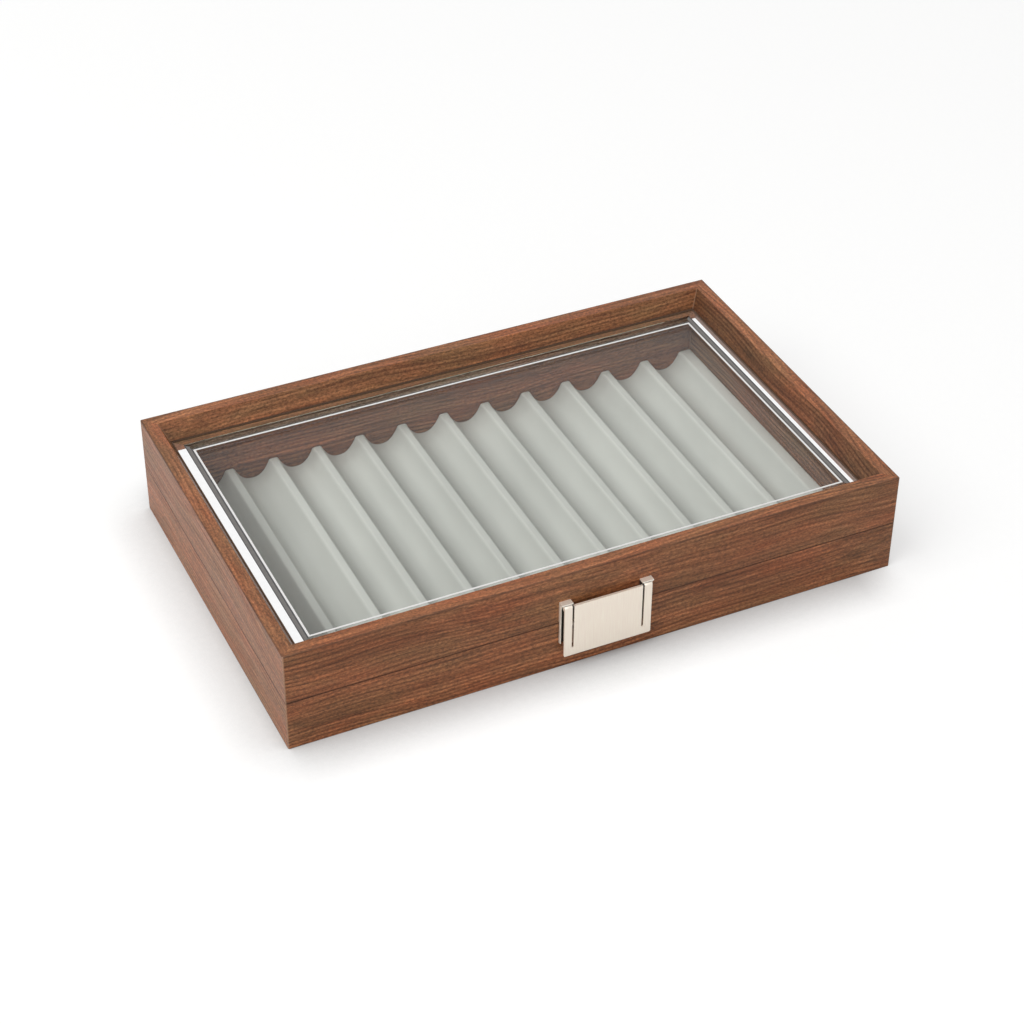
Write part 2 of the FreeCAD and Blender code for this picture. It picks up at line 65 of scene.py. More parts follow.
# ================================================================ material helpers
class Shader:
    """A node material with one Principled BSDF, built up call by call."""

    def __init__(self, name):
        self.material = bpy.data.materials.new(name)
        self.material.use_nodes = True
        self.tree = self.material.node_tree
        self.tree.nodes.clear()
        self.output = self.tree.nodes.new("ShaderNodeOutputMaterial")
        self.bsdf = self.tree.nodes.new("ShaderNodeBsdfPrincipled")
        self.link(self.bsdf.outputs[0], self.output.inputs["Surface"])

    def link(self, source, target):
        self.tree.links.new(source, target)

    def feed(self, node, socket, value):
        """Sets a socket to a value, or links an output to it."""
        target = node.inputs[socket]
        if isinstance(value, bpy.types.NodeSocket):
            self.link(value, target)
        else:
            target.default_value = value

    def set(self, **values):
        """Sets sockets of the Principled BSDF; underscores stand for spaces."""
        for key, value in values.items():
            self.feed(self.bsdf, key.replace("_", " "), value)

    def coords(self, scale=(1, 1, 1), turn=(0, 0, 0), shift=(0, 0, 0)):
        """Object coordinates, scaled after a small turn and a shift."""
        source = self.tree.nodes.new("ShaderNodeTexCoord")
        mapping = self.tree.nodes.new("ShaderNodeMapping")
        self.link(source.outputs["Object"], mapping.inputs["Vector"])
        mapping.inputs["Location"].default_value = shift
        mapping.inputs["Rotation"].default_value = turn
        mapping.inputs["Scale"].default_value = scale
        return mapping.outputs["Vector"]

    def split(self, vector):
        """The outputs X, Y and Z of a vector."""
        node = self.tree.nodes.new("ShaderNodeSeparateXYZ")
        self.link(vector, node.inputs[0])
        return node.outputs

    def noise(self, vector, detail=2.0, rough=0.5, out="Fac"):
        """Noise with one cell per unit of the vector."""
        node = self.tree.nodes.new("ShaderNodeTexNoise")
        self.link(vector, node.inputs["Vector"])
        node.inputs["Scale"].default_value = 1.0
        node.inputs["Detail"].default_value = detail
        node.inputs["Roughness"].default_value = rough
        return node.outputs[out]

    def ramp(self, factor, stops):
        """A colour ramp; a stop is (position, grey) or (position, (r, g, b))."""
        node = self.tree.nodes.new("ShaderNodeValToRGB")
        self.link(factor, node.inputs["Fac"])
        elements = node.color_ramp.elements
        while len(elements) < len(stops):
            elements.new(0.5)
        for element, (position, colour) in zip(elements, stops):
            element.position = position
            rgb = colour if isinstance(colour, tuple) else (colour, colour, colour)
            element.color = (*rgb, 1.0)
        return node.outputs["Color"]

    def mix(self, factor, a, b, mode="MIX"):
        """Two colours mixed; each may be an output or (r, g, b), and the factor a number too."""
        node = self.tree.nodes.new("ShaderNodeMix")
        node.data_type = "RGBA"
        node.blend_type = mode
        first, second = [socket for socket in node.inputs if socket.type == "RGBA"]
        for socket, value in ((node.inputs[0], factor), (first, a), (second, b)):
            if isinstance(value, bpy.types.NodeSocket):
                self.link(value, socket)
            elif isinstance(value, tuple):
                socket.default_value = (*value, 1.0)
            else:
                socket.default_value = value
        return [socket for socket in node.outputs if socket.type == "RGBA"][0]

    def math(self, operation, a, b=0.0):
        """One sum on outputs or numbers."""
        node = self.tree.nodes.new("ShaderNodeMath")
        node.operation = operation
        self.feed(node, 0, a)
        self.feed(node, 1, b)
        return node.outputs[0]

    def remap(self, value, low, high, new_low, new_high):
        """A value's range low..high spread over new_low..new_high, and held at its ends."""
        node = self.tree.nodes.new("ShaderNodeMapRange")
        self.link(value, node.inputs["Value"])
        node.inputs["From Min"].default_value = low
        node.inputs["From Max"].default_value = high
        node.inputs["To Min"].default_value = new_low
        node.inputs["To Max"].default_value = new_high
        return node.outputs["Result"]

    def pushed(self, vector, by, amount):
        """A vector moved by another one times a fixed amount per axis."""
        push = self.tree.nodes.new("ShaderNodeVectorMath")
        push.operation = "MULTIPLY"
        self.link(by, push.inputs[0])
        push.inputs[1].default_value = amount
        total = self.tree.nodes.new("ShaderNodeVectorMath")
        total.operation = "ADD"
        self.link(vector, total.inputs[0])
        self.link(push.outputs["Vector"], total.inputs[1])
        return total.outputs["Vector"]

    def bump(self, height, strength, distance):
        """Relief on the surface; the distance is in metres."""
        node = self.tree.nodes.new("ShaderNodeBump")
        self.link(height, node.inputs["Height"])
        node.inputs["Strength"].default_value = strength
        node.inputs["Distance"].default_value = distance
        self.link(node.outputs["Normal"], self.bsdf.inputs["Normal"])


def seen_rays(tree):
    """1 for a ray from the eye, straight, mirrored or through glass, and 0 for any other."""
    rays = tree.nodes.new("ShaderNodeLightPath")
    total = rays.outputs["Is Camera Ray"]
    for ray in ("Is Glossy Ray", "Is Transmission Ray"):
        add = tree.nodes.new("ShaderNodeMath")
        add.operation = "ADD"
        add.use_clamp = True
        tree.links.new(total, add.inputs[0])
        tree.links.new(rays.outputs[ray], add.inputs[1])
        total = add.outputs[0]
    return total


# ---- walnut: cells per metre along and across the grain, then how far the wander bends them ----
BANDS = (3.0, 62, 1.4)
RINGS = (3.0, 370, 8.0)
STREAKS = (5, 620, 13.0)
DASHES = (24, 1350, 28.0)
BLOTCHES = (20, 75, 1.6)
WANDER = (7, 16)
PORES = (130, 3200)
FLECKS = (620, 1150)
WANDER_ALONG = 0.15         # the bend along the grain, as a share of the bend across it
LINES_PER_METRE = 370       # the even growth lines stand 2.7 mm apart
LINE_WANDER = (0.0, 1.0, 0.022)
LINE_JITTER = (7, 110)
LINE_JITTER_PHASE = 6.0
LINE_FADE = (5, 60)
GRAIN_TILT = 0.6            # degrees
PORE_RELIEF = 0.12 * MM
WALNUT_IOR = 1.38
# what each layer of the grain multiplies the tone by
BLOTCH_TINTS = [(0.34, (0.86, 1.04, 1.04)), (0.50, 1.0), (0.66, (1.15, 0.93, 0.88))]
RING_TINTS = [(0.30, (0.76, 0.72, 0.68)), (0.44, (0.93, 0.91, 0.89)), (0.54, 1.02),
              (0.70, (1.16, 1.14, 1.12))]
STREAK_TINTS = [(0.32, (0.57, 0.52, 0.48)), (0.45, (0.90, 0.88, 0.85)), (0.54, 1.03), (0.68, 1.30)]
LINE_TINTS = [(0.0, (0.62, 0.57, 0.52)), (0.35, 0.96), (1.0, (1.22, 1.21, 1.19))]
DASH_TINTS = [(0.33, (0.45, 0.38, 0.34)), (0.42, (0.84, 0.80, 0.77)), (0.50, 1.0),
              (0.64, (1.26, 1.18, 1.12))]
PORE_TINTS = [(0.32, 0.5), (0.45, 1.0)]
FLECK_TINTS = [(0.30, (0.46, 0.44, 0.42)), (0.50, 1.0), (0.70, (1.60, 1.56, 1.50))]

# ---- edges of the wood: each pair is where a mark is full and where it ends ----
EDGE_SHARE = 0.6
# a darker outer top arris, and painted shade along the seam between lid and base
DARK_ARRIS_AND_SEAM_SHADE = (0.060, 0.026, 0.015)
# paler upright outer corners, and a painted highlight along the mitres of the lid's slopes
PALE_CORNER_AND_MITRE_HIGHLIGHT = (0.42, 0.26, 0.17)
DARK_ARRIS_BAND = (0.4 * MM, 0.9 * MM)
SEAM_BAND = (0.25 * MM, 0.75 * MM)
CORNER_BAND = (0.35 * MM, 0.75 * MM)
# the band and strength of the mitres' painted highlight
MITRE_BAND = (0.20 * MM, 0.55 * MM)
MITRE_SHARE = 0.75
RIM_INSET, SLOPE_INSET = 6.7 * MM, 6.95 * MM    # where the slopes' painted shade starts and is full


def wood(name, axis, seed, light, middle, dark, streaks=0.85, figure=0.0, rough=0.42, bump=0.4,
         slope_shade=None):
    """Satin walnut with its grain along X or Y: bands, dark streaks, open pores, a darker top
    arris, painted shade at the seam, paler upright corners and painted highlights along the lid's
    mitres.

    `streaks` is the strength of the lines, `figure` that of the flecks beyond the usual, and
    `slope_shade` a painted shade for the lid's inner slopes.
    """
    s = Shader(name)
    along_x = axis == "X"
    shift = (seed * 1.37, seed * 0.73, seed * 0.51)
    tilt = math.radians(GRAIN_TILT)
    turn = (0, tilt, tilt * 0.6) if along_x else (tilt, 0, tilt * 0.6)

    def along(run, cross):
        """Coordinates stretched along the grain; cells per metre along and across it."""
        return s.coords((run, cross, cross) if along_x else (cross, run, cross), turn, shift)

    wander = s.noise(along(*WANDER), detail=1, rough=0.5, out="Color")

    def bent(run, cross, amount):
        """The same, bent by the slow wander of the grain."""
        small = WANDER_ALONG * amount
        push = (small, amount, amount) if along_x else (amount, small, amount)
        return s.pushed(along(run, cross), wander, push)

    streak = s.noise(bent(*STREAKS), detail=1, rough=0.5)
    dashes = s.noise(bent(*DASHES), detail=2, rough=0.5)
    pores = s.noise(along(*PORES), detail=2, rough=0.5)

    # growth rings: even fine lines that fade in and out
    place = s.split(bent(*LINE_WANDER))
    across = s.math("ADD", place[1 if along_x else 0], place[2])
    jitter = s.math("MULTIPLY", s.noise(along(*LINE_JITTER), detail=1), LINE_JITTER_PHASE)
    phase = s.math("ADD", s.math("MULTIPLY", across, 2 * math.pi * LINES_PER_METRE), jitter)
    lines = s.remap(s.math("SINE", phase), -1.0, 1.0, 0.0, 1.0)
    fade = s.remap(s.noise(along(*LINE_FADE), detail=1), 0.35, 0.62, 0.4, 1.0)

    bands = s.noise(bent(*BANDS), detail=2, rough=0.5)
    colour = s.ramp(bands, [(0.28, dark), (0.46, middle), (0.72, light)])
    layers = (
        (0.7, s.noise(bent(*BLOTCHES), detail=3, rough=0.6), BLOTCH_TINTS),
        (streaks, s.noise(bent(*RINGS), detail=1, rough=0.4), RING_TINTS),
        (0.8 * streaks, streak, STREAK_TINTS),
        (s.math("MULTIPLY", fade, streaks), lines, LINE_TINTS),
        (0.42, dashes, DASH_TINTS),
        (0.5, pores, PORE_TINTS),
        (0.85 + 0.15 * figure, s.noise(along(*FLECKS), detail=2, rough=0.7), FLECK_TINTS),
    )
    for share, pattern, tints in layers:
        colour = s.mix(share, colour, s.ramp(pattern, tints), "MULTIPLY")
    # painted shade: the slope tint darkens the lid's inner slopes
    if slope_shade:
        colour = s.mix(slope_mask(s), colour, slope_shade, "MULTIPLY")
    # the top arris darker, and painted shade along the seam
    colour = s.mix(s.math("MULTIPLY", dark_arris_and_seam_shade_mask(s), EDGE_SHARE), colour, DARK_ARRIS_AND_SEAM_SHADE)
    # paler upright corners, and a painted highlight along the slopes' mitres
    colour = s.mix(s.math("MULTIPLY", pale_corner_and_mitre_highlight_mask(s), EDGE_SHARE), colour, PALE_CORNER_AND_MITRE_HIGHLIGHT)
    s.set(Base_Color=colour, IOR=WALNUT_IOR)
    s.set(Roughness=s.remap(streak, 0.3, 0.7, rough + 0.08, rough - 0.04))
    relief = s.math("ADD", s.math("MULTIPLY", pores, 0.6), s.math("MULTIPLY", dashes, 0.6))
    s.bump(relief, bump, PORE_RELIEF)
    return s.material


def dark_arris_and_seam_shade_mask(s):
    """1 on the outer upper arris, which is darker, and along the seam, where the darkening is
    painted shade; 0 elsewhere.
    """
    full, end = DARK_ARRIS_BAND
    x, y, z = (s.math("ABSOLUTE", part) for part in s.split(s.coords()))
    beyond_x = s.math("SUBTRACT", x, CASE_HALF[0])
    beyond_y = s.math("SUBTRACT", y, CASE_HALF[1])
    outside = s.remap(s.math("MAXIMUM", beyond_x, beyond_y), -end, -full, 0.0, 1.0)
    top = s.remap(z, CASE_TOP - end, CASE_TOP - full, 0.0, 1.0)
    seam = s.remap(s.math("ABSOLUTE", s.math("SUBTRACT", z, SEAM)), *SEAM_BAND, 1.0, 0.0)
    return s.math("MULTIPLY", outside, s.math("MAXIMUM", top, seam))


def insets(s):
    """How far a point lies inside the case's sides, along X and along Y."""
    place = s.split(s.coords())
    return [s.math("SUBTRACT", CASE_HALF[i], s.math("ABSOLUTE", place[i])) for i in range(2)]


def slope_mask(s):
    """1 inside the lid's flat rim, which is where its slopes are, and 0 on the rim and outside."""
    return s.remap(s.math("MINIMUM", *insets(s)), RIM_INSET, SLOPE_INSET, 0.0, 1.0)


def pale_corner_and_mitre_highlight_mask(s):
    """1 on the upright outer corners, which are paler, and along the mitres of the lid's slopes,
    where a painted highlight lies.
    """
    in_x, in_y = insets(s)
    upright = s.remap(s.math("MAXIMUM", in_x, in_y), *CORNER_BAND, 1.0, 0.0)
    apart = s.math("ABSOLUTE", s.math("SUBTRACT", in_x, in_y))
    mitre = s.remap(apart, *MITRE_BAND, MITRE_SHARE, 0.0)
    return s.math("MAXIMUM", upright, s.math("MULTIPLY", mitre, slope_mask(s)))


BRUSH_ACROSS, BRUSH_ALONG, CLOUD = 3800, 90, 70     # cells per metre
BRUSH_RELIEF = 0.03 * MM
COVER_EDGE = 0.15 * MM
COVER_LEVELS = (39.2 * MM, 39.4 * MM)               # the top of what the clasp's flap covers
# painted shadow on the back plate, for the gap behind the clasp's flap
PAINTED_GAP_SHADOW = (0.045, 0.040, 0.036)


def metal(name, colour, rough, brush_axis, brushing=0.25, metallic=1.0, shadow_half_width=0.0):
    """Plated metal with fine brush lines along one axis.

    Nearer the middle than `shadow_half_width`, and below the cover's level, it is painted dark: a
    painted shadow for the gap behind the clasp's flap.
    """
    s = Shader(name)
    stretched = tuple(BRUSH_ALONG if a == brush_axis else BRUSH_ACROSS for a in "XYZ")
    lines = s.noise(s.coords(stretched), detail=3, rough=0.6)
    cloud = s.noise(s.coords((CLOUD, CLOUD, CLOUD)), detail=3, rough=0.6)
    darker = tuple(c * 0.93 for c in colour)
    paler = tuple(min(c * 1.05, 1) for c in colour)
    tint = s.ramp(lines, [(0.30, darker), (0.70, paler)])
    if shadow_half_width:
        place = s.split(s.coords())
        in_gap_shadow = s.remap(s.math("ABSOLUTE", place[0]), shadow_half_width - COVER_EDGE, shadow_half_width, 1.0, 0.0)
        low = s.remap(place[2], *COVER_LEVELS, 1.0, 0.0)
        # painted shadow in the gap behind the flap
        tint = s.mix(s.math("MULTIPLY", in_gap_shadow, low), tint, PAINTED_GAP_SHADOW)
    line_rough = s.remap(lines, 0.3, 0.7, -0.05, 0.05)
    cloud_rough = s.remap(cloud, 0.3, 0.7, rough - 0.04, rough + 0.04)
    s.set(Base_Color=tint, Metallic=metallic, Roughness=s.math("ADD", line_rough, cloud_rough))
    s.bump(lines, brushing, BRUSH_RELIEF)
    return s.material


NAP = (5200, 5200, 5200)            # cells per metre
BRUSHED_PATCH = (26, 9, 26)
NAP_RELIEF = 0.2 * MM
# painted light on the tray's crests: the band below them over which it grows, and how much paler it
# makes the flock
CREST_BAND = 1.6 * MM
CREST_PAINTED_LIGHT = 1.16


def velvet(name, low, high, crest):
    """Flocked foam: short nap with faint brushed patches, with painted light that makes it paler
    near the height `crest`.
    """
    s = Shader(name)
    nap = s.noise(s.coords(NAP), detail=2, rough=0.6)
    patch = s.noise(s.coords(BRUSHED_PATCH), detail=3, rough=0.6)
    mixed = s.math("ADD", s.math("MULTIPLY", nap, 0.45), s.math("MULTIPLY", patch, 0.55))
    height = s.remap(s.split(s.coords())["Z"], crest - CREST_BAND, crest, 0.0, 1.0)
    # painted light, paler towards the crests
    shade = s.ramp(height, [(0.0, 1.0), (1.0, CREST_PAINTED_LIGHT)])
    colour = s.mix(1.0, s.ramp(mixed, [(0.34, low), (0.64, high)]), shade, "MULTIPLY")
    s.set(Base_Color=colour, Roughness=0.95, Specular_IOR_Level=0.2)
    s.set(Sheen_Weight=0.12, Sheen_Roughness=0.45, Sheen_Tint=(0.95, 0.97, 0.94, 1.0))
    s.bump(nap, 0.5, NAP_RELIEF)
    return s.material


GLASS_IOR = 1.28                    # below real glass, for a reflection as faint as it is seen
GLASS_TINT = (0.985, 0.995, 0.99, 1.0)
GLASS_SHADOW = (0.94, 0.95, 0.945, 1.0)
GLASS_WAVES = (14, 14, 14)
GLASS_RELIEF = 0.1 * MM


def glass_material():
    """Clear flat glass: sharp reflections, while lamp and soft light pass straight through."""
    s = Shader("clear_glass")
    s.set(Base_Color=GLASS_TINT, Transmission_Weight=1.0, IOR=GLASS_IOR, Roughness=0.0)
    s.bump(s.noise(s.coords(GLASS_WAVES), detail=1), 0.15, GLASS_RELIEF)
    rays = s.tree.nodes.new("ShaderNodeLightPath")
    clear = s.tree.nodes.new("ShaderNodeBsdfTransparent")
    clear.inputs["Color"].default_value = GLASS_SHADOW
    seen = s.bsdf
    for ray in ("Is Diffuse Ray", "Is Shadow Ray"):
        mix = s.tree.nodes.new("ShaderNodeMixShader")
        s.link(rays.outputs[ray], mix.inputs["Fac"])
        s.link(seen.outputs[0], mix.inputs[1])
        s.link(clear.outputs[0], mix.inputs[2])
        seen = mix
    s.link(seen.outputs[0], s.output.inputs["Surface"])
    return s.material


MOTTLE_RELIEF = 0.2 * MM


def plain(name, low, high, rough, scale=400.0, metallic=0.0, bump=0.0):
    """A finish with a slight mottle of so many cells per metre."""
    s = Shader(name)
    mottle = s.noise(s.coords((scale, scale, scale)), rough=0.6)
    s.set(Base_Color=s.ramp(mottle, [(0.35, low), (0.65, high)]))
    s.set(Roughness=rough, Metallic=metallic)
    if bump:
        s.bump(mottle, bump, MOTTLE_RELIEF)
    return s.material


def dress(node, material):
    """Gives a CAD node one material."""
    data = NODES[node].data
    data.materials.clear()
    data.materials.append(material)


# ---- how far edges are rounded ----
WOOD_ARRIS = 0.25 * MM
HINGE_ARRIS = 0.12 * MM
SCREW_ARRIS = 0.10 * MM
CLASP_ARRIS = 0.14 * MM
BAR_ARRIS = 0.12 * MM
WELD_DISTANCE = 0.004 * MM
SHARP_ANGLE = math.radians(32)      # an edge that turns by more is rounded


def soften(node, width):
    """Welds the node's split edges and rounds them a little, by modifiers only."""
    thing = NODES[node]
    weld = thing.modifiers.new("weld", "WELD")
    weld.merge_threshold = WELD_DISTANCE
    bevel = thing.modifiers.new("edges", "BEVEL")
    bevel.width = width
    bevel.segments = 2
    bevel.limit_method = "ANGLE"
    bevel.angle_limit = SHARP_ANGLE
    bevel.use_clamp_overlap = True
    bevel.harden_normals = True


# ================================================================ wood
TONES = ((0.352, 0.140, 0.061), (0.308, 0.121, 0.051), (0.266, 0.104, 0.043))
BEAD_TONES = (TONES[1], TONES[2], (0.06, 0.03, 0.02))
# the back bead is paler and greyer than the others: painted light, lifting the trim's shade on it
# and standing in for the glass's pale veil
BACK_BEAD_PAINTED_LIGHT = ((0.390, 0.270, 0.205), (0.335, 0.230, 0.175), (0.280, 0.190, 0.145))
PLYWOOD_TONES = ((0.62, 0.45, 0.28), (0.52, 0.36, 0.21), (0.42, 0.27, 0.15))
EVEN = (1.0, 1.0, 1.0)
# painted light and shade by board: the left boards paler and greyer, as if lit and sheened from the
# left, and the liners darker, as if shaded inside the case
PAINTED_LIGHT_AND_SHADE = {
    "base_left_board": (1.01, 1.08, 1.13),
    "lid_left_rail": (0.96, 1.02, 1.07),
    "liner_front": (0.66, 0.78, 0.88),
    "liner_back": (0.80, 0.84, 0.88),
    "liner_left": (0.66, 0.78, 0.88),
    "liner_right": (0.68, 0.84, 1.0),
}
# the slope tints are painted shade on the lid's inner slopes, strongest on the right one, which
# faces the key lamp
BOARDS = {
    "base_front_board": dict(axis="X", seed=1.0),
    "lid_front_rail": dict(axis="X", seed=2.0, slope_shade=(0.80, 0.83, 0.83)),
    "base_back_board": dict(axis="X", seed=3.0),
    "lid_back_rail": dict(axis="X", seed=4.0, figure=0.6, slope_shade=(0.80, 0.86, 0.865)),
    "base_left_board": dict(axis="Y", seed=5.0, streaks=0.55),
    "lid_left_rail": dict(axis="Y", seed=6.0, streaks=0.6, slope_shade=(0.80, 0.83, 0.83)),
    "base_right_board": dict(axis="Y", seed=7.0),
    "lid_right_rail": dict(axis="Y", seed=8.0, slope_shade=(0.50, 0.56, 0.62)),
    "liner_front": dict(axis="X", seed=9.0, rough=0.6, bump=0.12),
    "liner_back": dict(axis="X", seed=10.0, rough=0.6, bump=0.12),
    "liner_left": dict(axis="Y", seed=11.0, rough=0.6, bump=0.12),
    "liner_right": dict(axis="Y", seed=12.0, rough=0.6, bump=0.12),
}
BEADS = (("front", "X", 25.0), ("back", "X", 24.0), ("left", "Y", 24.0), ("right", "Y", 25.0))

for node, options in BOARDS.items():
    # painted light and shade: each board's tones are scaled by its factors
    painted_tint = PAINTED_LIGHT_AND_SHADE.get(node, EVEN)
    light, middle, dark = (tuple(c * d for c, d in zip(tone, painted_tint)) for tone in TONES)
    dress(node, wood("walnut_" + node, light=light, middle=middle, dark=dark, **options))
    soften(node, WOOD_ARRIS)
for side, axis, seed in BEADS:
    node = "glass_bead_" + side
    # the back bead's tones hold painted light
    tones = BACK_BEAD_PAINTED_LIGHT if side == "back" else BEAD_TONES
    dress(node, wood("walnut_" + node, axis, seed, *tones))
    soften(node, WOOD_ARRIS)


# ================================================================ inside and underneath
def mesh_piece(name, verts, faces, material, smooth=True):
    """A new mesh object of the scene, with its normals made to face outward."""
    data = bpy.data.meshes.new(name)
    data.from_pydata([tuple(v) for v in verts], [], faces)
    work = bmesh.new()
    work.from_mesh(data)
    bmesh.ops.recalc_face_normals(work, faces=work.faces)
    work.to_mesh(data)
    work.free()
    data.polygons.foreach_set("use_smooth", [smooth] * len(data.polygons))
    data.materials.append(material)
    thing = bpy.data.objects.new(name, data)
    bpy.context.scene.collection.objects.link(thing)
    return thing


def smoothstep(t):
    """A soft step from 0 to 1 as t goes from 0 to 1."""
    t = min(max(t, 0.0), 1.0)
    return t * t * (3 - 2 * t)


# ---- flocked tray: channels, ridges that swell into knobs at their ends, edges rolled over ----
CHANNELS = 12
TRAY_MARGIN = 4.8 * MM
CHANNEL_DEPTH = 8.8 * MM
RIDGE_HALF = 1.15 * MM
RIDGE_ROUND = 1.2 * MM
WALL_ANGLE = math.radians(65)
KNOB_SWELL = 0.22 * MM
KNOB_REACH = 5.0 * MM
END_ROUND = 1.1 * MM
CREST_STEPS = 6
WALL_STEPS = 12
END_ANGLES = [math.radians(a) for a in (0, 18, 36, 54, 72, 90)]
ROW_STEPS = [step * MM for step in (0.6, 1.2, 1.8, 2.6, 3.4, 4.2, 6.0, 12.0, 25.0)]
SAME_POINT = 0.001 * MM
FLOCK = ((0.525, 0.528, 0.492), (0.645, 0.648, 0.606))


def tray_section(pitch, flat):
    """Points (u, drop below the top) across a channel, from one ridge's middle to the next."""
    shoulder = pitch / 2 - flat
    edge = shoulder - RIDGE_ROUND * math.sin(WALL_ANGLE)
    lip = RIDGE_ROUND * (1 - math.cos(WALL_ANGLE))
    fall = CHANNEL_DEPTH - lip
    power = edge * math.tan(WALL_ANGLE) / fall
    points = [(pitch / 2, 0.0), (pitch / 2 - flat / 2, 0.0)]
    for k in range(CREST_STEPS + 1):
        angle = WALL_ANGLE * k / CREST_STEPS
        drop = RIDGE_ROUND * (1 - math.cos(angle))
        points.append((shoulder - RIDGE_ROUND * math.sin(angle), drop))
    for k in range(1, WALL_STEPS + 1):
        u = edge * (1 - k / WALL_STEPS)
        points.append((u, CHANNEL_DEPTH - fall * (u / edge) ** power))
    return [(-u, d) for u, d in points[:-1]] + points[:0:-1]


def flocked_tray():
    """The tray as one closed skin in rows across it; None stands for the underside."""
    low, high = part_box("pen_tray")
    half_x, half_y = high.x, high.y
    pitch = 2 * (half_x - TRAY_MARGIN) / CHANNELS
    ends = [(half_y - END_ROUND * (1 - math.cos(a)), END_ROUND * (1 - math.sin(a)))
            for a in END_ANGLES]
    ends += [(half_y - END_ROUND - step, 0.0) for step in ROW_STEPS]
    rows = [(half_y, None)] + ends
    rows = [(-y, d) for y, d in rows] + [(y, d) for y, d in reversed(rows)]
    left_rim = [(-half_x, None), (-half_x, END_ROUND),
                (-half_x + 0.3 * END_ROUND, 0.3 * END_ROUND), (-half_x + END_ROUND, 0.0)]
    verts, faces = [], []
    for y, drop in rows:
        near_end = smoothstep(1 - (half_y - abs(y)) / KNOB_REACH)
        section = tray_section(pitch, RIDGE_HALF + KNOB_SWELL * near_end)
        line = list(left_rim)
        for index in range(CHANNELS):
            middle = (index - (CHANNELS - 1) / 2) * pitch
            line += [(middle + u, d) for u, d in section]
        line += [(CHANNELS / 2 * pitch, 0.0)] + [(-x, d) for x, d in reversed(left_rim)]
        for x, d in line:
            z = low.z if d is None or drop is None else high.z - d - drop
            verts.append((x, y, z))
    across = len(line)
    for r in range(len(rows) - 1):
        for c in range(across - 1):
            i = r * across + c
            faces.append((i, i + 1, i + across + 1, i + across))
    tray = mesh_piece("flocked_pen_tray", verts, faces, velvet("grey_flock", *FLOCK, high.z))
    work = bmesh.new()
    work.from_mesh(tray.data)
    bmesh.ops.remove_doubles(work, verts=work.verts, dist=SAME_POINT)
    bmesh.ops.holes_fill(work, edges=work.edges, sides=0)
    bmesh.ops.recalc_face_normals(work, faces=work.faces)
    work.to_mesh(tray.data)
    work.free()
    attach(tray, "base")
    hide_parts("pen_tray")


flocked_tray()


# ---- on and beside the glass: a grey printed band, dark lines of painted shade, and strips at the rails' foot painted as a shadow gap ----
def bars_piece(name, sides, outer, inner, z0, z1, material, body):
    """Mitred bars along sides of the lid; outer and inner are (left, right, front, back) insets."""
    def corners(insets):
        left, right, front, back = insets
        x0, x1 = -CASE_HALF[0] + left, CASE_HALF[0] - right
        y0, y1 = -CASE_HALF[1] + front, CASE_HALF[1] - back
        return {"front": ((x0, y0), (x1, y0)), "right": ((x1, y0), (x1, y1)),
                "back": ((x1, y1), (x0, y1)), "left": ((x0, y1), (x0, y0))}
    verts, faces = [], []
    for side in sides:
        (a, b), (d, c) = corners(outer)[side], corners(inner)[side]
        start = len(verts)
        verts += [(x, y, z) for z in (z0, z1) for x, y in (a, b, c, d)]
        faces += [tuple(start + k for k in face) for face in
                  ((0, 1, 2, 3), (7, 6, 5, 4), (0, 4, 5, 1), (1, 5, 6, 2), (2, 6, 7, 3),
                   (3, 7, 4, 0))]
    thing = mesh_piece(name, verts, faces, material, smooth=False)
    bevel = thing.modifiers.new("edges", "BEVEL")
    bevel.width = min((z1 - z0) * 0.3, BAR_ARRIS)
    bevel.segments = 2
    bevel.limit_method = "ANGLE"
    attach(thing, body)


def around(value):
    """The same inset, given in millimetres, on all four sides."""
    return (value * MM,) * 4


BORDER_LINE = (19.5 * MM, 19.5 * MM, 19.5 * MM, 22.1 * MM)      # its outer edge, from the CAD
# strips at the rails' foot: dark as a painted shadow gap on the right and back, a lighter brown
# copy on the left and front
shadowed_joint = plain("joint_painted_shadow", (0.050, 0.026, 0.014), (0.085, 0.042, 0.022), 0.85, 900, bump=0.3)
lit_joint = plain("joint_painted_lit", (0.135, 0.080, 0.050), (0.175, 0.105, 0.066), 0.8, 900, bump=0.3)
# dark lines of painted shade, standing in for the shadow and dark mirror image of the foil and
# white line in the glass
shade_line = plain("painted_shade_line", (0.060, 0.060, 0.061), (0.080, 0.080, 0.081), 0.5, 700)
grey_band = plain("grey_enamel", (0.190, 0.180, 0.173), (0.216, 0.205, 0.197), 0.6, 700)
# name, sides, outer and inner insets, bottom and top above the glass in millimetres, look, slot
BARS = (
    # the rail-foot strips: a painted shadow gap, and its lighter copy
    ("rail_foot_painted_shadow", ("right", "back"), around(11.45), around(12.25),
     0.02, 0.85, shadowed_joint, "walnut_lid"),
    ("rail_foot_painted_lit", ("left", "front"), around(11.45), around(12.25),
     0.02, 0.62, lit_joint, "walnut_lid"),
    # painted shade beside the foil
    ("painted_shade_outer", ("left", "right"), around(16.48), around(17.0),
     0.01, 0.33, shade_line, "bright_trim"),
    ("pinstripe_band", ("left", "right"), around(17.02), around(18.75),
     0.01, 0.10, grey_band, "bright_trim"),
    # painted shade beside the white line
    ("painted_shade_inner", ("left", "right", "back"), tuple(v - 0.75 * MM for v in BORDER_LINE),
     tuple(v - 0.02 * MM for v in BORDER_LINE), 0.01, 0.10, shade_line, "white_line"),
)
for name, sides, outer, inner, bottom, top, look, slot in BARS:
    bars_piece(name, sides, outer, inner, GLASS_TOP + bottom * MM, GLASS_TOP + top * MM,
               look, "lid")
dress("base_bottom_panel", wood("plywood_panel", "X", 31.0, *PLYWOOD_TONES))


